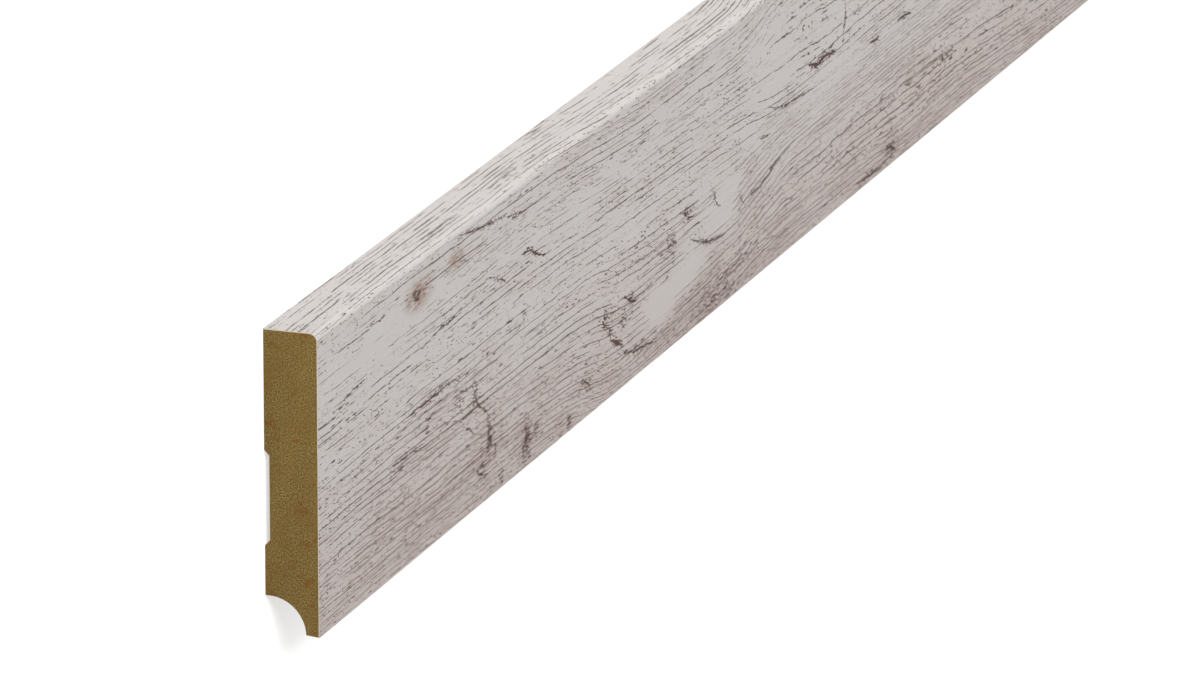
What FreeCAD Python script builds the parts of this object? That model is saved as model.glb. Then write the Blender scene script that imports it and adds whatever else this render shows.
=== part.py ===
import FreeCAD, Part
import math
import os
import Sketcher

# Skirting board length: a moulded fibreboard core wrapped in a thin decor foil.
# The board lies on its back. X runs along its length, Y up the wall from the floor edge to
# the top face, and Z out of the wall. The origin is in the back plane, at mid length and
# mid height. All sizes are in millimetres, angles in degrees.

doc = FreeCAD.newDocument("skirting_board")

# Driving dimensions
sizes = doc.addObject("Spreadsheet::Sheet", "sizes")
DIMENSIONS = [
    ("board_length", "2400", "sold length, from sawn end to sawn end"),
    ("board_height", "77", "floor edge to top face, foil included"),
    ("board_depth", "14", "back to front face, foil included"),
    ("foil_thickness", "0.2", "decor foil with its glue line"),
    ("edge_radius", "2.2", "finished rounding between the front and top faces"),
    ("recess_low_end", "22.2", "floor edge to the lower end of the recess mouth"),
    ("recess_mouth_width", "24.2", "width of the recess in the back plane"),
    ("recess_depth", "1.3", "back plane to the floor of the recess"),
    ("recess_flank_run", "1.4", "height that each sloping flank of the recess takes up"),
    ("duct_radius", "9.5", "quarter-round cable duct, centred level with the floor edge"),
    ("duct_centre_setback", "1", "back plane to the centre of the duct"),
    ("lip_undercut_angle", "5.5", "slope of the lip's underside, so its front edge meets the floor"),
]
for row, (alias, value, meaning) in enumerate(DIMENSIONS, start=1):
    sizes.set("A%d" % row, alias)
    sizes.set("B%d" % row, value)
    sizes.set("C%d" % row, meaning)
    sizes.setAlias("B%d" % row, alias)
doc.recompute()


def size(alias):
    """The value of one cell, for the first guess of a sketch's points."""
    return float(sizes.get(alias))


def point(across, out):
    """A point of the section: across the board's height, and out of the wall."""
    return FreeCAD.Vector(across, out, 0)


# Points of a sketch element, and the sketch's own origin and first axis
START, END, CENTRE = 1, 2, 3
ORIGIN = (-1, 1)
BACK_PLANE = -1


def section_sketch(body, name):
    """An empty sketch across the board, at mid length: its x is Y and its y is Z."""
    sketch = body.newObject("Sketcher::SketchObject", name)
    across_plane = [item for item in body.Origin.OriginFeatures if item.Role == "YZ_Plane"][0]
    sketch.AttachmentSupport = [(across_plane, "")]
    sketch.MapMode = "FlatFace"
    return sketch


def line(sketch, first, last):
    return sketch.addGeometry(Part.LineSegment(first, last), False)


def quarter_arc(sketch, centre, radius):
    """A quarter of a circle, counter-clockwise from the direction up the wall."""
    full_circle = Part.Circle(centre, FreeCAD.Vector(0, 0, 1), radius)
    return sketch.addGeometry(Part.ArcOfCircle(full_circle, 0, math.pi / 2), False)


def join(sketch, first, first_end, second, second_end):
    sketch.addConstraint(Sketcher.Constraint("Coincident", first, first_end, second, second_end))


def blend(sketch, first, first_end, second, second_end):
    """Join two ends so that one runs smoothly into the other."""
    sketch.addConstraint(Sketcher.Constraint("Tangent", first, first_end, second, second_end))


def bind(sketch, name, expression, *constraint):
    """Add a dimension to the sketch and tie its value to the sheet."""
    index = sketch.addConstraint(Sketcher.Constraint(*constraint))
    sketch.renameConstraint(index, name)
    sketch.setExpression("Constraints." + name, expression)


def floor_datum(sketch):
    """The finished floor edge, as a construction point that heights are taken from."""
    spot = point(-size("board_height") / 2, size("board_depth"))
    datum = sketch.addGeometry(Part.Point(spot), True)
    bind(sketch, "half_height", "sizes.board_height / 2",
         "DistanceX", datum, START, *ORIGIN, size("board_height") / 2)
    bind(sketch, "front_face", "sizes.board_depth",
         "DistanceY", *ORIGIN, datum, START, size("board_depth"))
    return datum


def slope_as_lip(sketch, edge):
    """Give an edge that runs back from the front face the slope of the lip's underside."""
    bind(sketch, "lip_slope", "(sizes.lip_undercut_angle - 90) * 1 deg",
         "Angle", edge, math.radians(size("lip_undercut_angle") - 90))


def run_along_board(body, sketch, name):
    """Moulded stock: the section is the same from one sawn end to the other."""
    pad = body.newObject("PartDesign::Pad", name)
    pad.Profile = sketch
    pad.SideType = "Symmetric"
    pad.setExpression("Length", "sizes.board_length")
    sketch.Visibility = False
    return pad


# Fibreboard core: one moulded length, with the clip recess and the cable duct in its back
core = doc.addObject("PartDesign::Body", "fibreboard_core")
core.Label = "fibreboard_core"
core_section = section_sketch(core, "core_section")

half_height = size("board_height") / 2
core_top = half_height - size("foil_thickness")
core_front = size("board_depth") - size("foil_thickness")
core_edge_radius = size("edge_radius") - size("foil_thickness")
recess_start = size("recess_low_end") - half_height
recess_end = recess_start + size("recess_mouth_width")
recess_floor_start = recess_start + size("recess_flank_run")
recess_floor_end = recess_end - size("recess_flank_run")
duct_shelf = size("duct_radius") - half_height
lip_back = size("duct_centre_setback") + size("duct_radius")

# The outline runs up the back, over the top, down the front and back through the duct
lower_land = line(core_section, point(duct_shelf, 0), point(recess_start, 0))
lower_flank = line(core_section, point(recess_start, 0),
                   point(recess_floor_start, size("recess_depth")))
recess_floor = line(core_section, point(recess_floor_start, size("recess_depth")),
                    point(recess_floor_end, size("recess_depth")))
upper_flank = line(core_section, point(recess_floor_end, size("recess_depth")),
                   point(recess_end, 0))
upper_land = line(core_section, point(recess_end, 0), point(core_top, 0))
top_side = line(core_section, point(core_top, 0), point(core_top, core_front - core_edge_radius))
rounding = quarter_arc(core_section, point(core_top - core_edge_radius,
                                           core_front - core_edge_radius), core_edge_radius)
front_side = line(core_section, point(core_top - core_edge_radius, core_front),
                  point(-half_height, core_front))
lip = line(core_section, point(-half_height, core_front), point(-half_height, lip_back))
duct = quarter_arc(core_section, point(-half_height, size("duct_centre_setback")),
                   size("duct_radius"))
shelf = line(core_section, point(duct_shelf, size("duct_centre_setback")), point(duct_shelf, 0))

join(core_section, lower_land, END, lower_flank, START)
join(core_section, lower_flank, END, recess_floor, START)
join(core_section, recess_floor, END, upper_flank, START)
join(core_section, upper_flank, END, upper_land, START)
join(core_section, upper_land, END, top_side, START)
blend(core_section, top_side, END, rounding, START)
blend(core_section, rounding, END, front_side, START)
join(core_section, front_side, END, lip, START)
join(core_section, lip, END, duct, END)
blend(core_section, duct, START, shelf, START)
join(core_section, shelf, END, lower_land, START)

for level in (lower_land, recess_floor, upper_land, front_side):
    core_section.addConstraint(Sketcher.Constraint("Horizontal", level))
for upright in (top_side, shelf):
    core_section.addConstraint(Sketcher.Constraint("Vertical", upright))
for land in (lower_land, upper_land):
    core_section.addConstraint(Sketcher.Constraint("PointOnObject", land, START, BACK_PLANE))

core_datum = floor_datum(core_section)
bind(core_section, "core_top", "sizes.board_height - sizes.foil_thickness",
     "DistanceX", core_datum, START, top_side, START, core_top + half_height)
bind(core_section, "core_front", "sizes.board_depth - sizes.foil_thickness",
     "DistanceY", *ORIGIN, front_side, START, core_front)
bind(core_section, "core_edge_radius", "sizes.edge_radius - sizes.foil_thickness",
     "Radius", rounding, core_edge_radius)
bind(core_section, "recess_low_end", "sizes.recess_low_end",
     "DistanceX", core_datum, START, lower_flank, START, size("recess_low_end"))
bind(core_section, "recess_mouth", "sizes.recess_mouth_width",
     "DistanceX", lower_flank, START, upper_flank, END, size("recess_mouth_width"))
bind(core_section, "recess_depth", "sizes.recess_depth",
     "DistanceY", *ORIGIN, recess_floor, START, size("recess_depth"))
bind(core_section, "lower_flank_run", "sizes.recess_flank_run",
     "DistanceX", lower_flank, START, lower_flank, END, size("recess_flank_run"))
bind(core_section, "upper_flank_run", "sizes.recess_flank_run",
     "DistanceX", upper_flank, START, upper_flank, END, size("recess_flank_run"))
bind(core_section, "duct_radius", "sizes.duct_radius",
     "Radius", duct, size("duct_radius"))
core_section.addConstraint(Sketcher.Constraint("Vertical", core_datum, START, duct, CENTRE))
bind(core_section, "duct_setback", "sizes.duct_centre_setback",
     "DistanceY", *ORIGIN, duct, CENTRE, size("duct_centre_setback"))
slope_as_lip(core_section, lip)
core_section.addConstraint(Sketcher.Constraint("PointOnObject", core_datum, START, lip))
run_along_board(core, core_section, "core_length")

# Decor foil: a printed sheet glued over the front face, round the edge and over the top face.
# It is trimmed flush with the back plane above and with the lip's underside below.
foil = doc.addObject("PartDesign::Body", "decor_foil")
foil.Label = "decor_foil"
foil_section = section_sketch(foil, "foil_section")

round_across = half_height - size("edge_radius")
round_out = size("board_depth") - size("edge_radius")
round_middle = point(round_across, round_out)

# The outline runs over the outer side from the top back edge, and back along the glued side
back_trim = line(foil_section, point(core_top, 0), point(half_height, 0))
top_face = line(foil_section, point(half_height, 0), point(half_height, round_out))
outer_round = quarter_arc(foil_section, round_middle, size("edge_radius"))
front_face = line(foil_section, point(round_across, size("board_depth")),
                  point(-half_height, size("board_depth")))
floor_trim = line(foil_section, point(-half_height, size("board_depth")),
                  point(-half_height, core_front))
front_glue_face = line(foil_section, point(-half_height, core_front),
                       point(round_across, core_front))
inner_round = quarter_arc(foil_section, round_middle, core_edge_radius)
top_glue_face = line(foil_section, point(core_top, round_out), point(core_top, 0))

join(foil_section, back_trim, END, top_face, START)
blend(foil_section, top_face, END, outer_round, START)
blend(foil_section, outer_round, END, front_face, START)
join(foil_section, front_face, END, floor_trim, START)
join(foil_section, floor_trim, END, front_glue_face, START)
blend(foil_section, front_glue_face, END, inner_round, END)
blend(foil_section, inner_round, START, top_glue_face, START)
join(foil_section, top_glue_face, END, back_trim, START)

for level in (back_trim, front_face, front_glue_face):
    foil_section.addConstraint(Sketcher.Constraint("Horizontal", level))
for upright in (top_face, top_glue_face):
    foil_section.addConstraint(Sketcher.Constraint("Vertical", upright))
foil_section.addConstraint(Sketcher.Constraint("PointOnObject", back_trim, START, BACK_PLANE))

foil_datum = floor_datum(foil_section)
join(foil_section, front_face, END, foil_datum, START)
bind(foil_section, "board_height", "sizes.board_height",
     "DistanceX", foil_datum, START, top_face, START, size("board_height"))
bind(foil_section, "top_thickness", "sizes.foil_thickness",
     "DistanceX", back_trim, START, back_trim, END, size("foil_thickness"))
bind(foil_section, "front_thickness", "sizes.foil_thickness",
     "DistanceY", front_glue_face, START, front_face, END, size("foil_thickness"))
bind(foil_section, "edge_radius", "sizes.edge_radius",
     "Radius", outer_round, size("edge_radius"))
bind(foil_section, "inner_radius", "sizes.edge_radius - sizes.foil_thickness",
     "Radius", inner_round, core_edge_radius)
slope_as_lip(foil_section, floor_trim)
run_along_board(foil, foil_section, "foil_length")

doc.recompute()

# Every object has to be sound before anything is written
for item in doc.Objects:
    if "Invalid" in item.State or "Error" in item.State:
        raise RuntimeError("%s did not recompute: %s" % (item.Name, item.State))
for sketch in (core_section, foil_section):
    if sketch.solve() != 0 or not sketch.FullyConstrained:
        raise RuntimeError("%s is not solved in full" % sketch.Name)
for body in (core, foil):
    if body.Shape.isNull() or not body.Shape.isValid() or len(body.Shape.Solids) != 1:
        raise RuntimeError("%s is not one valid solid" % body.Label)

os.makedirs("parts", exist_ok=True)
for body in (core, foil):
    body.Shape.exportStep("parts/%s.step" % body.Label)
    print("%s: volume %.1f mm3, box %s" % (body.Label, body.Shape.Volume, body.Shape.BoundBox))
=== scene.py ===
import math

import bmesh
import bpy
from mathutils import Matrix, Vector


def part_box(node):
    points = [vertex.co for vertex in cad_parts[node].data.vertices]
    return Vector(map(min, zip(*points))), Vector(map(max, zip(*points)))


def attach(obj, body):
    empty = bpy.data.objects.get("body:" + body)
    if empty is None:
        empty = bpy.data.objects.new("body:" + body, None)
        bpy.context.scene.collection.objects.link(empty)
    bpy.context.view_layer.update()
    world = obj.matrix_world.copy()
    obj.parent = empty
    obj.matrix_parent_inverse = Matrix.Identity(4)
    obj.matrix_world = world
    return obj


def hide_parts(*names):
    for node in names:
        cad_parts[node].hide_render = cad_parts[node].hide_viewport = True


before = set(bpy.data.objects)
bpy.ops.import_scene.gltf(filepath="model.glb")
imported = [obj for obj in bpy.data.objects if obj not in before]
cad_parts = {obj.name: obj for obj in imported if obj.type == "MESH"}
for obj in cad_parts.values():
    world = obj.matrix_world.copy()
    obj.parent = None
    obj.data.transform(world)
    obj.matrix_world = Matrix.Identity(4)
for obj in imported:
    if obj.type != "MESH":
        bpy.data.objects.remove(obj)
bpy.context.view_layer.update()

# The core: one length of medium-density fibreboard, moulded along its length and sawn square.
# Its back has a shallow recess for wall clips, and its lower back corner is cut away in a
# quarter round for cables, which leaves a thin lip at the floor.
core_low, core_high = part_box("fibreboard_core")
skin_low, skin_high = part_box("decor_foil")
near_end = core_low.x
board_length = core_high.x - core_low.x
floor_edge = skin_low.y
board_height = skin_high.y - skin_low.y
board_depth = skin_high.z - core_low.z
foil_thickness = skin_high.z - core_high.z

recess_foot = 0.0222
recess_mouth = 0.0242
recess_depth = 0.0013
recess_flank = 0.0014
duct_radius = 0.0095
duct_setback = 0.001
lip_undercut = math.radians(5.5)
skin_round = 0.0022
core_round = skin_round - foil_thickness
broken_arris = 0.00018
round_steps = 14
duct_steps = 24
arris_sharp = math.radians(28)


def section_point(mesh, up, out):
    """A vertex of the near end's section, up from the floor edge and out from the wall."""
    return mesh.verts.new((near_end, floor_edge + up, out))


def chain(mesh, points):
    """Edges from each of these vertices to the next."""
    for start, end in zip(points, points[1:]):
        mesh.edges.new((start, end))


def drawn_along_board(mesh):
    """Fills the closed section and draws it out to the board's far end."""
    filled = bmesh.ops.contextual_create(mesh, geom=mesh.edges[:])["faces"]
    drawn = bmesh.ops.extrude_face_region(mesh, geom=filled)["geom"]
    far = [part for part in drawn if isinstance(part, bmesh.types.BMVert)]
    bmesh.ops.translate(mesh, verts=far, vec=(board_length, 0, 0))
    bmesh.ops.recalc_face_normals(mesh, faces=mesh.faces)


def soften_rounds(mesh):
    """Shades the rounds smooth and keeps every real arris sharp."""
    for face in mesh.faces:
        face.smooth = True
    for edge in mesh.edges:
        edge.smooth = edge.calc_face_angle(0) < arris_sharp


def piece_from(mesh, name, materials):
    """The finished mesh as an object of its own that rides on the board."""
    data = bpy.data.meshes.new(name)
    mesh.to_mesh(data)
    mesh.free()
    for material in materials:
        data.materials.append(material)
    piece = bpy.data.objects.new(name, data)
    bpy.context.scene.collection.objects.link(piece)
    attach(piece, "root")
    return piece


core = bmesh.new()
core_height = board_height - foil_thickness
core_depth = board_depth - foil_thickness
lip_reach = (board_depth - duct_setback) * math.sin(lip_undercut)
lip_turn = math.asin(lip_reach / duct_radius) - lip_undercut
shelf = section_point(core, duct_radius, duct_setback)
turned = bmesh.ops.spin(
    core, geom=[shelf], cent=(near_end, floor_edge, duct_setback), axis=(1, 0, 0),
    angle=math.radians(90) - lip_turn, steps=duct_steps,
)
lip_inside = next(part for part in turned["geom_last"] if isinstance(part, bmesh.types.BMVert))
top_front = section_point(core, core_height, core_depth)
chain(core, [
    shelf,
    section_point(core, duct_radius, 0),
    section_point(core, recess_foot, 0),
    section_point(core, recess_foot + recess_flank, recess_depth),
    section_point(core, recess_foot + recess_mouth - recess_flank, recess_depth),
    section_point(core, recess_foot + recess_mouth, 0),
    section_point(core, core_height, 0),
    top_front,
    section_point(core, foil_thickness * math.tan(lip_undercut), core_depth),
    lip_inside,
])
bmesh.ops.bevel(
    core, geom=[top_front], offset=core_round, offset_type="OFFSET", segments=round_steps,
    profile=0.5, affect="VERTICES", material=-1,
)
drawn_along_board(core)


touching = 0.00001


def under_foil(vertex):
    """True for a vertex that the foil covers."""
    up = vertex.co.y - floor_edge + touching
    out = vertex.co.z + touching
    in_round = up > core_height - core_round and out > core_depth - core_round
    return up > core_height or out > core_depth or in_round


bare_arrises = [
    edge for edge in core.edges
    if edge.calc_face_angle(0) > arris_sharp and not all(under_foil(end) for end in edge.verts)
]
bmesh.ops.bevel(
    core, geom=bare_arrises, offset=broken_arris, offset_type="OFFSET", segments=2,
    profile=0.5, affect="EDGES", clamp_overlap=True, material=-1,
)
bmesh.ops.recalc_face_normals(core, faces=core.faces)
soften_rounds(core)


def add_node(tree, kind, settings=None, **inputs):
    """A node of that kind. Each input, with _ for a space in its name, is set or linked."""
    node = tree.nodes.new(kind)
    for name, value in (settings or {}).items():
        setattr(node, name, value)
    for name, value in inputs.items():
        put(tree, node.inputs[name.replace("_", " ")], value)
    return node


def put(tree, socket, value):
    """Links the socket, or sets it."""
    if isinstance(value, bpy.types.NodeSocket):
        tree.links.new(value, socket)
    else:
        socket.default_value = value


def figure(tree, operation, *values):
    """One step of arithmetic."""
    node = tree.nodes.new("ShaderNodeMath")
    node.operation = operation
    for socket, value in zip(node.inputs, values):
        put(tree, socket, value)
    return node.outputs[0]


def ease(tree, value, start, end, low=0.0, high=1.0):
    """low before start, high after end and an eased step between them."""
    node = add_node(
        tree, "ShaderNodeMapRange", {"interpolation_type": "SMOOTHSTEP"},
        From_Min=start, From_Max=end, To_Min=low, To_Max=high,
    )
    put(tree, node.inputs["Value"], value)
    return node.outputs["Result"]


def stretched(tree, place, grain):
    """The place divided by a grain size in each direction."""
    node = tree.nodes.new("ShaderNodeVectorMath")
    node.operation = "DIVIDE"
    put(tree, node.inputs[0], place)
    node.inputs[1].default_value = grain
    return node.outputs[0]


def noise(tree, place, grain, detail=2.0, roughness=0.5, dimensions="3D"):
    """Soft noise of about that grain size, from 0 to 1."""
    node = add_node(
        tree, "ShaderNodeTexNoise", {"noise_dimensions": dimensions},
        Vector=stretched(tree, place, grain), Scale=1.0, Detail=detail, Roughness=roughness,
    )
    return node.outputs["Fac"]


def tint(tree, under, over, share):
    """The colour under, with that share of the colour over."""
    node = add_node(tree, "ShaderNodeMix", {"data_type": "RGBA"})
    put(tree, node.inputs[0], share)
    put(tree, node.inputs[6], under)
    put(tree, node.inputs[7], over)
    return node.outputs[2]


def paint(red, green, blue):
    """A display colour, 0 to 255, as the linear colour that a shader takes."""
    return tuple((part / 255) ** 2.2 for part in (red, green, blue)) + (1.0,)


def new_material(name, roughness):
    """A material, its node tree and its main shader."""
    material = bpy.data.materials.new(name)
    material.use_nodes = True
    shader = material.node_tree.nodes["Principled BSDF"]
    shader.inputs["Roughness"].default_value = roughness
    return material, material.node_tree, shader


def fibreboard(name, fibre, streak, roughness):
    """Bare fibreboard: matted fibres, resin stains, dark bark specks, and saw or cutter streaks."""
    material, tree, shader = new_material(name, roughness)
    shader.inputs["Specular IOR Level"].default_value = 0.25
    place = tree.nodes.new("ShaderNodeTexCoord").outputs["Object"]
    fleck = noise(tree, place, fibre, 3.0, 0.75)
    cloud = noise(tree, place, (0.006, 0.006, 0.006), 2.0, 0.5)
    stain = noise(tree, place, (0.0026, 0.0026, 0.0026), 2.0, 0.6)
    bark = noise(tree, place, (0.0006, 0.0006, 0.0006), 1.0, 0.5)
    line = noise(tree, place, streak, 2.0, 0.5)
    colour = tint(tree, paint(76, 52, 16), paint(162, 138, 82), ease(tree, fleck, 0.34, 0.68))
    for pattern, start, end, share, shade in (
        (cloud, 0.35, 0.7, 0.4, paint(120, 93, 44)),
        (stain, 0.58, 0.74, 0.6, paint(118, 72, 22)),
        (bark, 0.72, 0.8, 0.7, paint(60, 42, 18)),
        (line, 0.55, 0.75, 0.2, paint(150, 126, 80)),
    ):
        colour = tint(tree, colour, shade, ease(tree, pattern, start, end, 0.0, share))
    put(tree, shader.inputs["Base Color"], colour)
    relief = add_node(
        tree, "ShaderNodeBump", Strength=0.5, Distance=0.00006,
        Height=figure(tree, "ADD", fleck, figure(tree, "MULTIPLY", line, 0.6)),
    )
    put(tree, shader.inputs["Normal"], relief.outputs["Normal"])
    return material


moulded_board = fibreboard(
    "moulded_fibreboard", fibre=(0.0012, 0.0004, 0.0004), streak=(0.08, 0.0005, 0.0005), roughness=0.8,
)
sawn_board = fibreboard(
    "sawn_fibreboard", fibre=(0.0003, 0.00035, 0.00035), streak=(0.0004, 0.02, 0.0007), roughness=0.9,
)
for face in core.faces:
    face.material_index = 1 if abs(face.normal.x) > 0.5 else 0
board = piece_from(core, "moulded_core", [moulded_board, sawn_board])
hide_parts("fibreboard_core")

# The foil: a printed paper foil 0.2 mm thick, glued round the front, the rounded arris and the
# top. The print is old whitewashed wood, with dark pore lines, cracks and knots. Where the foil
# is cut, along its two edges and at both ends of the board, its cream raw paper shows.
foil = bmesh.new()
outer_corner = section_point(foil, board_height, board_depth)
inner_corner = section_point(foil, core_height, core_depth)
wrap = [
    section_point(foil, 0, board_depth),
    outer_corner,
    section_point(foil, board_height, 0),
    section_point(foil, core_height, 0),
    inner_corner,
    section_point(foil, foil_thickness * math.tan(lip_undercut), core_depth),
]
chain(foil, wrap + wrap[:1])
for corner, radius in ((outer_corner, skin_round), (inner_corner, core_round)):
    bmesh.ops.bevel(
        foil, geom=[corner], offset=radius, offset_type="OFFSET", segments=round_steps,
        profile=0.5, affect="VERTICES", material=-1,
    )
drawn_along_board(foil)

# It is cut across at each third of its length, so that its flat map can lie in three rows.
map_rows = 3
row_length = board_length / map_rows
for row in range(1, map_rows):
    bmesh.ops.bisect_plane(
        foil, geom=foil.verts[:] + foil.edges[:] + foil.faces[:],
        plane_co=(near_end + row * row_length, 0, 0), plane_no=(1, 0, 0),
    )
soften_rounds(foil)

round_up = board_height - skin_round
round_out = board_depth - skin_round
foil_width = round_up + skin_round * math.radians(90) + round_out


def print_place(co):
    """Where the print lies there: along from the near end, and up the front and over the top."""
    up = co.y - floor_edge
    turn = math.atan2(max(up - round_up, 0), max(co.z - round_out, 0))
    return co.x - near_end, min(up, round_up) + skin_round * turn + max(round_out - co.z, 0)


def below_print(co):
    """How far a point of the foil lies under its printed side."""
    return skin_round - math.hypot(max(co.y - floor_edge - round_up, 0), max(co.z - round_out, 0))


# The foil gets a flat map of its own, where the print lies in three rows, and
# its glued side and its cuts in narrow strips above them.
map_side = 1024
strip_gap = 2
strips = {}
free_from = strip_gap
for kind, count, tall in (
    ("print", map_rows, 300),
    ("glued", map_rows, 20),
    ("floor_cut", map_rows, 4),
    ("wall_cut", map_rows, 4),
    ("end_cut", 2, 4),
):
    for row in range(count):
        strips[kind, row] = free_from, tall
        free_from += tall + strip_gap


def strip_of(face):
    """The kind and row of the strip that a face of the foil lies in."""
    if abs(face.normal.x) > 0.5:
        return "end_cut", 0 if face.normal.x < 0 else 1
    row = int((face.calc_center_median().x - near_end) / row_length)
    if max(corner.co.y for corner in face.verts) < floor_edge + foil_thickness:
        return "floor_cut", row
    if max(corner.co.z for corner in face.verts) < foil_thickness:
        return "wall_cut", row
    glued = face.normal.y < -0.001 or face.normal.z < -0.001
    return "glued" if glued else "print", row


# A new map makes the one before it void, so both are looked up once they exist.
foil.loops.layers.uv.new("print")
foil.loops.layers.uv.new("OFBake")
print_map = foil.loops.layers.uv["print"]
flat_map = foil.loops.layers.uv["OFBake"]
for face in foil.faces:
    kind, row = strip_of(face)
    face.material_index = 0 if kind == "print" else 1
    low, tall = strips[kind, row]
    for loop in face.loops:
        ran, up = print_place(loop.vert.co)
        loop[print_map].uv = ran, up
        across = up / foil_width
        run = ran / row_length - row
        if kind == "end_cut":
            run = across
        if kind not in ("print", "glued"):
            across = below_print(loop.vert.co) / foil_thickness
        loop[flat_map].uv = (
            (strip_gap + run * (map_side - 2 * strip_gap)) / map_side,
            (low + across * tall) / map_side,
        )

decor, decor_tree, decor_shader = new_material("whitewashed_wood_print", 0.5)
decor_shader.inputs["Specular IOR Level"].default_value = 0.15
print_uv = decor_tree.nodes.new("ShaderNodeUVMap")
print_uv.uv_map = "print"
mm_in_metre = 1000.0
to_mm = decor_tree.nodes.new("ShaderNodeVectorMath")
to_mm.operation = "SCALE"
to_mm.inputs["Scale"].default_value = mm_in_metre
decor_tree.links.new(print_uv.outputs["UV"], to_mm.inputs[0])
printed = to_mm.outputs[0]
print_axes = add_node(decor_tree, "ShaderNodeSeparateXYZ", Vector=printed)
along, height = print_axes.outputs["X"], print_axes.outputs["Y"]
front_height = round_up * mm_in_metre


def calc(operation, *values):
    """One step of arithmetic in the print."""
    return figure(decor_tree, operation, *values)


def at(x, y):
    """A place in the print, in mm."""
    return add_node(decor_tree, "ShaderNodeCombineXYZ", X=x, Y=y).outputs[0]


def rough(place, long, wide, detail=2.0, roughness=0.55):
    """Soft noise in the print, from 0 to 1, with grains of about that length and width."""
    return noise(decor_tree, place, (long, wide, 1.0), detail, roughness, "2D")


def waver(place, long, wide, reach, detail=2.0):
    """Noise that goes up to about that far either way of 0."""
    return calc("MULTIPLY_ADD", rough(place, long, wide, detail), 2 * reach, -reach)


def curve(value, points):
    """A smooth curve through these points, which runs level before the first and after the last."""
    xs, ys = zip(*points)
    margin = 1.0
    bottom = min(ys) - margin
    rise = max(ys) + margin - bottom
    ran = add_node(decor_tree, "ShaderNodeMapRange", Value=value, From_Min=xs[0], From_Max=xs[-1])
    node = decor_tree.nodes.new("ShaderNodeFloatCurve")
    line = node.mapping.curves[0]
    for _ in points[2:]:
        line.points.new(0.5, 0.5)
    for bend, (x, y) in zip(line.points, points):
        bend.location = ((x - xs[0]) / (xs[-1] - xs[0]), (y - bottom) / rise)
    node.mapping.update()
    put(decor_tree, node.inputs["Value"], ran.outputs[0])
    return calc("MULTIPLY_ADD", node.outputs[0], rise, bottom)


# The grain runs along the board and sways. Each band of it, from the floor edge up, rises and
# falls by a curve of its own, and the grain between two bands takes a share of both. Here is
# each band's height, and how far it has risen at places along the roll, all in mm.
bands = [
    (6, [
        (0, 0), (150, 0), (200, -3), (235, -5), (280, -4), (320, -2.5), (350, -1), (480, -1),
        (700, -5), (900, 1), (1200, 0),
    ]),
    (26, [
        (0, 0), (150, 0), (200, -1.5), (250, -5), (300, -5), (326, -2), (350, 2), (370, 4),
        (430, 4), (600, 2), (850, -3), (1200, 0),
    ]),
    (46, [
        (0, 0), (140, 0), (210, -1.5), (285, -4), (330, -6), (386, -9), (430, -8.5), (600, -5),
        (800, -2), (1000, 2), (1200, 0),
    ]),
    (73, [
        (0, 0), (150, 0), (260, -4), (300, -4), (340, -1), (365, 1.5), (400, 0.5), (450, -1.5),
        (600, -3), (850, -3), (1050, -4), (1200, 0),
    ]),
]
roll_repeat = 1200.0
round_the_roll = calc("WRAP", along, roll_repeat, 0.0)
lower_edge, points = bands[0]
sway = curve(round_the_roll, points)
for upper_edge, points in bands[1:]:
    step = ease(decor_tree, height, lower_edge, upper_edge)
    change = calc("SUBTRACT", curve(round_the_roll, points), sway)
    sway = calc("MULTIPLY_ADD", change, step, sway)
    lower_edge = upper_edge
grain = calc("SUBTRACT", height, sway)
grain = calc("ADD", grain, waver(printed, 90, 16, 1.3))
grain = calc("ADD", grain, waver(printed, 11, 3.5, 0.27))
in_grain = at(along, grain)

# This counts the growth rings from the floor edge up. They lie closest there and on the top.
rings = curve(grain, [
    (-15, -11), (0, 0), (10, 7), (25, 15.5), (45, 25), (62, 32.5), (77, 40), (105, 60),
])
ring_apart = 1.9

# The knots, cracks and calm places come again every 600 mm, turned end for end and upside down.
marks_repeat = 600.0
mark_along = calc("PINGPONG", along, marks_repeat)
turned_over = calc("MODULO", calc("FLOOR", calc("DIVIDE", along, marks_repeat)), 2.0)
upside_down = calc("MULTIPLY_ADD", height, -2.0, front_height)
mark_height = calc("MULTIPLY_ADD", turned_over, upside_down, height)
calm_place = at(mark_along, mark_height)
mark_along = calc("ADD", mark_along, waver(printed, 1.8, 1.0, 1.3, 3.0))
mark_height = calc("ADD", mark_height, waver(at(height, along), 0.9, 2.6, 0.45, 3.0))
mark_place = at(mark_along, mark_height)


def spot(place, centre, radii, strength):
    """A soft oval spot, of that strength at its centre."""
    off = add_node(decor_tree, "ShaderNodeVectorMath", {"operation": "SUBTRACT"})
    put(decor_tree, off.inputs[0], place)
    put(decor_tree, off.inputs[1], (*centre, 0.0))
    share = stretched(decor_tree, off.outputs[0], (*radii, 1.0))
    size = add_node(decor_tree, "ShaderNodeVectorMath", {"operation": "LENGTH"})
    put(decor_tree, size.inputs[0], share)
    return ease(decor_tree, size.outputs["Value"], 0.0, 1.0, strength, 0.0)


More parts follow.
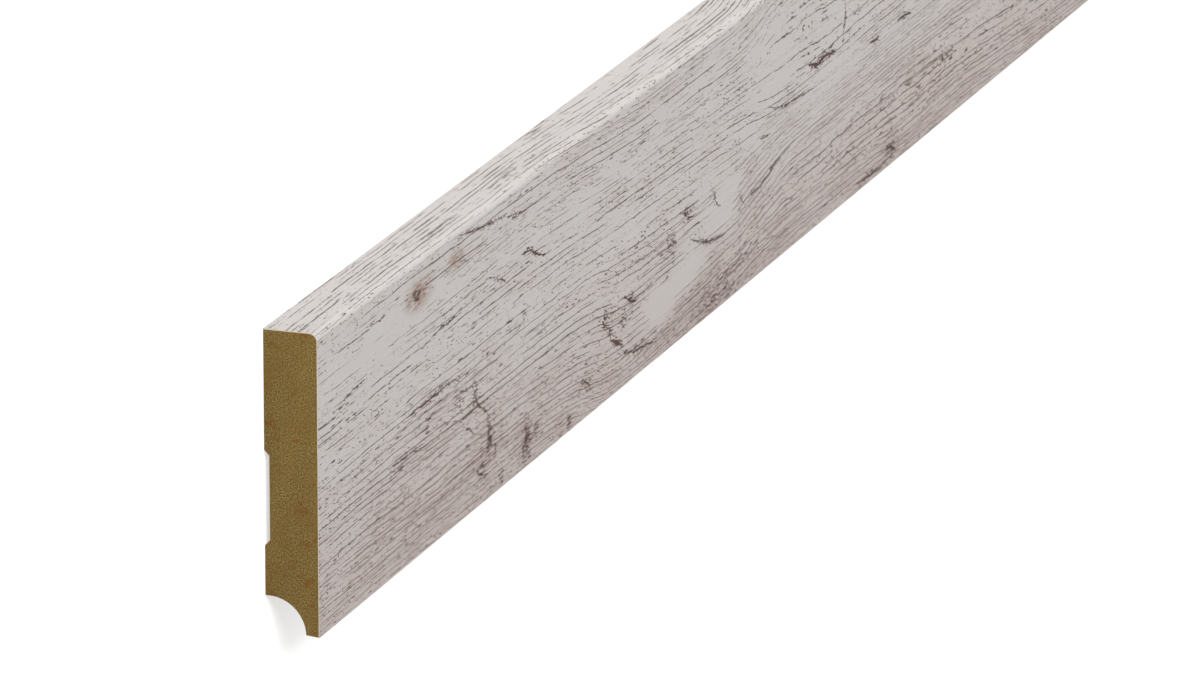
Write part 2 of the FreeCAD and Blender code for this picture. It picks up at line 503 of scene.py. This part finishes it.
def crack(points, width):
    """How far off the ragged crack through these points is, in widths of its tapering line."""
    spread = [max(axis) - min(axis) for axis in zip(*points)]
    run = 0 if spread[0] > spread[1] else 1
    points = sorted(points, key=lambda point: point[run])
    places = (mark_along, mark_height)
    path = curve(places[run], [(point[run], point[1 - run]) for point in points])
    gap = calc("ABSOLUTE", calc("SUBTRACT", places[1 - run], path))
    start, end = points[0][run], points[-1][run]
    longest_taper = 5.0
    taper = min(longest_taper, (end - start) / 3)
    body = curve(places[run], [
        (start, 0.0), (start + taper, width), (end - taper, width * 0.8), (end, 0.0),
    ])
    return calc("DIVIDE", gap, calc("MAXIMUM", body, 0.01))


# The cracks: the points that each runs through, and its width, in mm.
cracks = [
    ([(99, 75), (108, 73.5), (120, 72), (136, 71)], 0.16),
    ([(133, 70.8), (142, 69), (152, 68.4)], 0.14),
    ([(33, 69.3), (40, 68.7), (49, 68.5)], 0.16),
    ([(16, 55), (24, 56.1), (35, 56.2)], 0.16),
    ([(79, 53.8), (92, 54.5), (103, 54.2)], 0.14),
    ([(60, 38.2), (80, 38.4), (105, 38.3)], 0.16),
    ([(121, 58), (127, 56.4), (131, 56.6)], 0.18),
    ([(127, 55.4), (130, 55), (134.5, 53)], 0.26),
    ([(146, 57), (154, 56.3), (156, 54.9), (161, 53.2), (167, 52)], 0.34),
    ([(48, 28.7), (60, 28.4), (74, 28.2)], 0.18),
    ([(48, 26), (57, 26.2), (65, 26.2)], 0.2),
    ([(99, 26), (107, 26.4), (115, 26.4)], 0.2),
    ([(109, 33), (111, 29.5), (113, 27), (118, 24.3), (121, 22)], 0.32),
    ([(120.5, 21), (121, 17), (123, 14), (126, 11), (125, 8.5)], 0.38),
    ([(103, 26), (104, 23.5), (108, 21.5), (111, 19.5)], 0.18),
    ([(112, 10), (115, 8), (121, 6.4)], 0.36),
    ([(147.5, 14), (149, 8), (147, 4.5), (150.5, 0)], 0.34),
    ([(191, 11), (196, 9), (200, 6), (201, 4)], 0.34),
    ([(211.5, 26), (210, 23), (209.5, 20.8), (213.5, 18.8), (215, 15)], 0.46),
    ([(214, 15.4), (219, 13.7), (223.5, 11.8), (226, 10.6)], 0.6),
    ([(223, 10.4), (230, 7.8), (240, 6.4), (253, 5.7)], 0.24),
    ([(225, 24.4), (229, 22.6), (232, 21.2), (237, 20.8)], 0.4),
    ([(271, 34.6), (275, 33.5), (277, 32), (283, 31)], 0.32),
    ([(278, 27), (280.5, 25), (287, 22.8), (294, 20.8), (310, 19.2)], 0.22),
    ([(297.5, 34), (299, 32.5), (301, 29.5), (305, 27.8)], 0.3),
    ([(337, 38.3), (341, 37.4), (346, 37)], 0.26),
    ([(345, 45), (350, 43.5), (357, 42), (366, 41.3), (387, 40.2)], 0.13),
    ([(379, 48), (384, 47.1), (388, 46), (393, 46.8), (398, 46.4), (405, 45.8)], 0.5),
    ([(412, 60), (412.5, 54), (411, 50), (410, 45)], 0.3),
    ([(320.5, 26.4), (325, 22.6)], 0.24),
    ([(326, 24), (340, 24.8), (350, 27.3), (370, 30)], 0.14),
    ([(434, 40.6), (439, 40), (442, 39.6), (445, 37.5)], 0.36),
    ([(459, 41), (465, 40.5), (470, 40.1), (474, 39.2)], 0.36),
    ([(467, 19.5), (471, 19.2), (475, 18.7)], 0.24),
    ([(422, 2.6), (433, 2), (452, 2)], 0.26),
    ([(450, 6.4), (456, 4.5), (461, 2)], 0.4),
]
nearest = crack(*cracks[0])
for points, width in cracks[1:]:
    nearest = calc("MINIMUM", nearest, crack(points, width))

# Dark patches where many short splits lie close together: the centre, the size and how many.
patches = [
    ((69, 67.6), (4, 2.4), 0.2),
    ((137, 42.2), (4, 1.2), 0.28),
    ((148, 41.3), (4, 2.6), 0.28),
    ((144, 38.6), (3, 1.0), 0.28),
    ((158, 54.2), (4, 1.4), 0.3),
    ((100, 31), (6, 8), 0.16),
    ((111, 30), (5, 7), 0.22),
    ((121.5, 16), (4, 8), 0.31),
    ((117, 9), (7, 4), 0.22),
    ((130, 4), (4, 5), 0.24),
    ((150, 7), (5, 9), 0.31),
    ((157, 8), (5, 3), 0.28),
    ((182, 2.5), (3, 3.5), 0.28),
    ((197, 8), (6, 4), 0.2),
    ((211, 21), (4, 7), 0.2),
    ((219.5, 13), (5, 2.6), 0.29),
    ((225.5, 18), (8, 5.5), 0.22),
    ((230.5, 22), (6, 3.5), 0.26),
    ((264, 28), (6, 3.5), 0.24),
    ((277, 33), (8, 3.5), 0.2),
    ((299, 31), (3, 4), 0.22),
    ((300, 3.5), (34, 5), 0.16),
    ((316, 8), (26, 4), 0.15),
    ((318, 41.5), (10, 3), 0.16),
    ((388, 46.8), (10, 1.8), 0.28),
    ((440, 40), (7, 2), 0.22),
    ((467, 40.2), (9, 1.6), 0.26),
    ((455, 4), (9, 4), 0.24),
    ((507, 19), (14, 3), 0.2),
    ((78, 33), (5, 4), 0.14),
]
patchy = spot(mark_place, *patches[0])
for centre, radii, strength in patches[1:]:
    patchy = calc("MAXIMUM", patchy, spot(mark_place, centre, radii, strength))
splinter = rough(in_grain, 1.2, 0.4, 3.0, 0.7)
split_open = calc("ADD", ease(decor_tree, nearest, 1.6, 0.1, 0.0, 0.4), splinter)
split_open = calc("MULTIPLY_ADD", patchy, 0.72, split_open)
crack_ink = ease(decor_tree, split_open, 0.75, 0.8)
beside_crack = ease(decor_tree, nearest, 5.0, 1.0, 0.0, 0.7)
split_up = calc("MAXIMUM", beside_crack, calc("MULTIPLY", patchy, 3.2))

# How busy the print is: full of pores and specks, or calm where the whitewash lies thick.
busy = calc("MULTIPLY_ADD", rough(in_grain, 34, 8, 3.0), 0.9, 0.05)
for centre, radii, strength in (
    ((40, 62), (90, 9), -0.4),
    ((175, 58), (70, 6), -0.25),
    ((200, 68), (110, 9), 0.04),
    ((60, 25), (110, 30), 0.2),
    ((118, 14), (16, 18), 0.35),
    ((150, 6), (14, 10), 0.5),
    ((212, 20), (10, 9), 0.25),
    ((228, 19), (8, 6), -0.2),
    ((264, 29), (6, 5), 0.45),
    ((277, 33), (9, 5), 0.4),
    ((300, 4), (70, 12), 0.4),
    ((455, 4), (16, 8), 0.4),
    ((254, 14), (21, 10), -0.85),
    ((277, 18), (24, 10), -0.85),
    ((305, 26.5), (21, 9.5), -0.9),
    ((318, 31.5), (12, 6), -0.4),
    ((350, 54), (26, 10), -0.8),
    ((395, 40), (30, 8), -0.3),
    ((475, 18), (70, 18), 0.25),
):
    busy = calc("ADD", busy, spot(calm_place, centre, radii, strength))
near_floor = ease(decor_tree, height, 45.0, 0.0)
busy = calc("MULTIPLY_ADD", near_floor, 0.25, busy)
on_top = ease(decor_tree, height, front_height + 3.0, front_height + 5.5)
busy = calc("MULTIPLY_ADD", on_top, -0.18, busy)
gritty = ease(decor_tree, rough(in_grain, 2.6, 0.5, 2.0), 0.3, 0.55, 0.4, 1.0)


def pore_lines(per_ring, width, piece, bar, seed):
    """Thin dark lines, that many to a ring. Each breaks in its own places and has its own width."""
    line = calc("MULTIPLY", rings, per_ring)
    index = calc("ADD", calc("FLOOR", line), seed)
    chance = add_node(decor_tree, "ShaderNodeTexWhiteNoise", {"noise_dimensions": "1D"}, W=index)
    chances = add_node(decor_tree, "ShaderNodeSeparateXYZ", Vector=chance.outputs["Color"])
    own_place, own_strength, own_width = chances.outputs
    line_apart = 31.7
    beside = at(along, calc("MULTIPLY", index, line_apart))
    stroke = calc("MULTIPLY_ADD", own_strength, 0.18, rough(beside, piece, 1.0, 4.0, 0.62))
    drawn = ease(decor_tree, calc("MULTIPLY_ADD", busy, 0.3, stroke), bar, bar + 0.12)
    centre = calc("MULTIPLY_ADD", own_place, 0.4, 0.3)
    centre = calc("ADD", centre, waver(beside, 9.0, 1.0, 0.12, 2.0))
    off = calc("ABSOLUTE", calc("SUBTRACT", calc("FRACT", line), centre))
    half = calc("MULTIPLY_ADD", own_width, width * 0.7, width * 0.75)
    half = calc("MULTIPLY", half, calc("MULTIPLY_ADD", on_top, 1.35, 1.0))
    off = calc("MULTIPLY", off, ring_apart / per_ring)
    inked = ease(decor_tree, calc("DIVIDE", off, half), 1.0, 0.4)
    return calc("MULTIPLY", calc("MULTIPLY", inked, drawn), gritty)


main_ink = pore_lines(per_ring=1.0, width=0.145, piece=28.0, bar=0.64, seed=11.0)
fine_ink = pore_lines(per_ring=2.1, width=0.11, piece=12.0, bar=0.79, seed=157.0)


def pen_strokes(place, cell, half, give, least):
    """Short strokes, at most one to a cell, in a share of the cells that grows as busy does."""
    scaled = stretched(decor_tree, place, (*cell, 1.0))
    cells = add_node(
        decor_tree, "ShaderNodeTexVoronoi", {"voronoi_dimensions": "2D"}, Vector=scaled, Scale=1.0,
    )
    own = add_node(decor_tree, "ShaderNodeSeparateXYZ", Vector=cells.outputs["Color"])
    off = add_node(decor_tree, "ShaderNodeVectorMath", {"operation": "SUBTRACT"})
    put(decor_tree, off.inputs[0], scaled)
    put(decor_tree, off.inputs[1], cells.outputs["Position"])
    shaped = stretched(decor_tree, off.outputs[0], (half[0] / cell[0], half[1] / cell[1], 1.0))
    size = add_node(decor_tree, "ShaderNodeVectorMath", {"operation": "LENGTH"})
    put(decor_tree, size.inputs[0], shaped)
    larger = calc("ADD", calc("MULTIPLY_ADD", split_up, 0.9, own.outputs["Y"]), 0.5)
    grown = calc("DIVIDE", size.outputs["Value"], larger)
    share = calc("ADD", calc("MULTIPLY_ADD", busy, give, least), split_up)
    drawn = ease(decor_tree, calc("SUBTRACT", share, own.outputs["X"]), 0.0, 0.08)
    return calc("MULTIPLY", ease(decor_tree, grown, 1.0, 0.6), drawn)


ragged_along = calc("ADD", along, waver(printed, 0.7, 0.4, 0.35))
ragged_grain = calc("ADD", grain, waver(printed, 1.1, 0.7, 0.25))
ragged = at(ragged_along, ragged_grain)
slanted = at(ragged_along, calc("MULTIPLY_ADD", along, 0.2, ragged_grain))
steep = at(calc("MULTIPLY_ADD", height, 0.35, ragged_along), ragged_grain)
dash_ink = pen_strokes(ragged, (5.0, 1.5), (1.4, 0.17), 0.42, -0.08)
slant_ink = pen_strokes(slanted, (2.6, 1.0), (0.75, 0.14), 0.5, -0.08)
speck_ink = pen_strokes(ragged, (1.6, 1.1), (0.42, 0.14), 0.46, -0.03)
tick_ink = pen_strokes(steep, (2.4, 2.4), (0.15, 0.55), 0.3, -0.1)
dirt = calc("MULTIPLY_ADD", busy, 0.28, rough(in_grain, 2.0, 0.7, 4.0, 0.7))
dirt = ease(decor_tree, dirt, 0.72, 0.84)

# The whitewash: warm grey, thinner and dirtier toward the floor, with two brown knots.
mottle = rough(printed, 22, 9, 4.0)
tooth = rough(in_grain, 0.9, 0.4, 3.0)
wash = tint(decor_tree, paint(196, 191, 188), paint(193, 185, 181), ease(decor_tree, busy, 0.35, 1.0))
wash = tint(decor_tree, wash, paint(202, 199, 196), ease(decor_tree, mottle, 0.5, 0.8, 0.0, 0.4))
thin_wash = calc("MULTIPLY", near_floor, ease(decor_tree, busy, 0.0, 0.6, 0.2, 0.44))
wash = tint(decor_tree, wash, paint(175, 159, 154), thin_wash)
wash = tint(decor_tree, wash, paint(173, 148, 142), calc("MULTIPLY", dirt, 0.35))
wash = tint(decor_tree, wash, paint(172, 162, 158), ease(decor_tree, tooth, 0.45, 0.75, 0.0, 0.35))
streak = ease(decor_tree, rough(in_grain, 3.6, 0.55, 4.0, 0.65), 0.4, 0.6, 0.25, 1.0)
brown = spot(mark_place, (71.0, 67.5), (14, 6), 1.35)
brown = calc("MAXIMUM", brown, spot(mark_place, (97.5, 69), (9.5, 4.5), 1.0))
brown = calc("MAXIMUM", brown, spot(mark_place, (390, 46.6), (11, 2.4), 0.9))
wash = tint(decor_tree, wash, paint(134, 102, 78), calc("MULTIPLY", brown, streak))
heart = ease(decor_tree, spot(mark_place, (69.3, 67.8), (5, 3), 1.0), 0.15, 0.6)

# The inks, from the palest up: how thickly each covers the wash, and its colour.
inks = (
    (fine_ink, 0.9, paint(92, 66, 58)),
    (speck_ink, 0.95, paint(70, 42, 34)),
    (slant_ink, 0.9, paint(82, 54, 46)),
    (tick_ink, 0.9, paint(76, 46, 38)),
    (dash_ink, 0.95, paint(58, 34, 27)),
    (main_ink, 0.95, paint(52, 31, 25)),
    (calc("MULTIPLY", heart, streak), 0.9, paint(62, 36, 26)),
    (crack_ink, 1.0, paint(62, 30, 20)),
)
colour = wash
for ink, share, shade in inks:
    colour = tint(decor_tree, colour, shade, calc("MULTIPLY", ink, share))
put(decor_tree, decor_shader.inputs["Base Color"], colour)

raw_paper, paper_tree, paper_shader = new_material("raw_foil_edge", 0.85)
paper_place = paper_tree.nodes.new("ShaderNodeTexCoord").outputs["Object"]
paper_fibre = noise(paper_tree, paper_place, (0.0008, 0.0008, 0.0008), 3.0, 0.6)
cream = tint(paper_tree, paint(192, 178, 156), paint(226, 214, 192), paper_fibre)
put(paper_tree, paper_shader.inputs["Base Color"], cream)

skin = piece_from(foil, "wrapped_foil", [decor, raw_paper])
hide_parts("decor_foil")

# The floor: a plain pale studio floor that the board lies on, white to the eye and with the
# board's soft shadow on it. It is a hair below the board's back, so that the two share no plane.
floor_half = 20.0
hair = 0.0001
floor_mesh = bmesh.new()
bmesh.ops.create_grid(floor_mesh, x_segments=1, y_segments=1, size=floor_half)
bmesh.ops.translate(floor_mesh, verts=floor_mesh.verts, vec=(0, 0, -hair))
floor_data = bpy.data.meshes.new("studio_floor")
floor_mesh.to_mesh(floor_data)
floor_mesh.free()
floor = bpy.data.objects.new("studio_floor", floor_data)
bpy.context.scene.collection.objects.link(floor)
floor_material, floor_tree, floor_shader = new_material("pale_floor", 0.9)
floor_shader.inputs["Base Color"].default_value = (0.8, 0.8, 0.8, 1.0)
floor_shader.inputs["Specular IOR Level"].default_value = 0.0
floor_shader.inputs["Emission Color"].default_value = (1.0, 1.0, 1.0, 1.0)


def in_sight(tree):
    """1 where the eye sees the surface, straight or in something shiny or clear, and else 0."""
    path = tree.nodes.new("ShaderNodeLightPath")
    shown = figure(tree, "MAXIMUM", path.outputs["Is Glossy Ray"], path.outputs["Is Transmission Ray"])
    return figure(tree, "MAXIMUM", path.outputs["Is Camera Ray"], shown)


glow = figure(floor_tree, "MULTIPLY", in_sight(floor_tree), 0.6)
put(floor_tree, floor_shader.inputs["Emission Strength"], glow)
floor_data.materials.append(floor_material)

# The light: a broad soft key high over the board's top edge and near end, a weak fill from
# the other side, and a pale sky all round.


def soft_sun(name, toward, strength, spread):
    """A broad lamp that shines toward that direction."""
    lamp = bpy.data.lights.new(name, "SUN")
    lamp.energy = strength
    lamp.angle = math.radians(spread)
    holder = bpy.data.objects.new(name, lamp)
    holder.matrix_world = Vector(toward).to_track_quat("-Z", "Y").to_matrix().to_4x4()
    bpy.context.scene.collection.objects.link(holder)


soft_sun("key_light", (0.56, -0.645, -0.60), math.pi * 0.917, 35)
soft_sun("rim_light", (-0.90, -0.31, -0.30), math.pi * 0.25, 40)
soft_sun("fill_light", (-0.5, 0.7, -0.6), math.pi * 0.1, 60)
world = bpy.data.worlds.new("studio")
bpy.context.scene.world = world
world.use_nodes = True
sky = world.node_tree.nodes["Background"]
sky.inputs["Color"].default_value = (1.0, 1.0, 1.0, 1.0)
ambient = 0.25
sky_strength = figure(world.node_tree, "MAXIMUM", in_sight(world.node_tree), ambient)
put(world.node_tree, sky.inputs["Strength"], sky_strength)

# The camera: a long lens near the end of the board, above it and turned so that the board's
# top edge is up in the picture.
eye = Vector((-3.46315, 0.75420, 0.87591))
looks_along = Vector((0.90532, -0.28383, -0.31597))
picture_up = Vector((0.26785, 0.95887, -0.09390))
picture_right = looks_along.cross(picture_up)
lens = bpy.data.cameras.new("picture_camera")
lens.sensor_width = 36.0
lens.lens = 314.88
lens.clip_start = 0.05
lens.clip_end = 200.0
camera = bpy.data.objects.new("picture_camera", lens)
facing = Matrix((picture_right, picture_up, -looks_along)).transposed().to_4x4()
camera.matrix_world = Matrix.Translation(eye) @ facing
bpy.context.scene.collection.objects.link(camera)
bpy.context.scene.camera = camera
bpy.context.scene.view_settings.view_transform = "Standard"
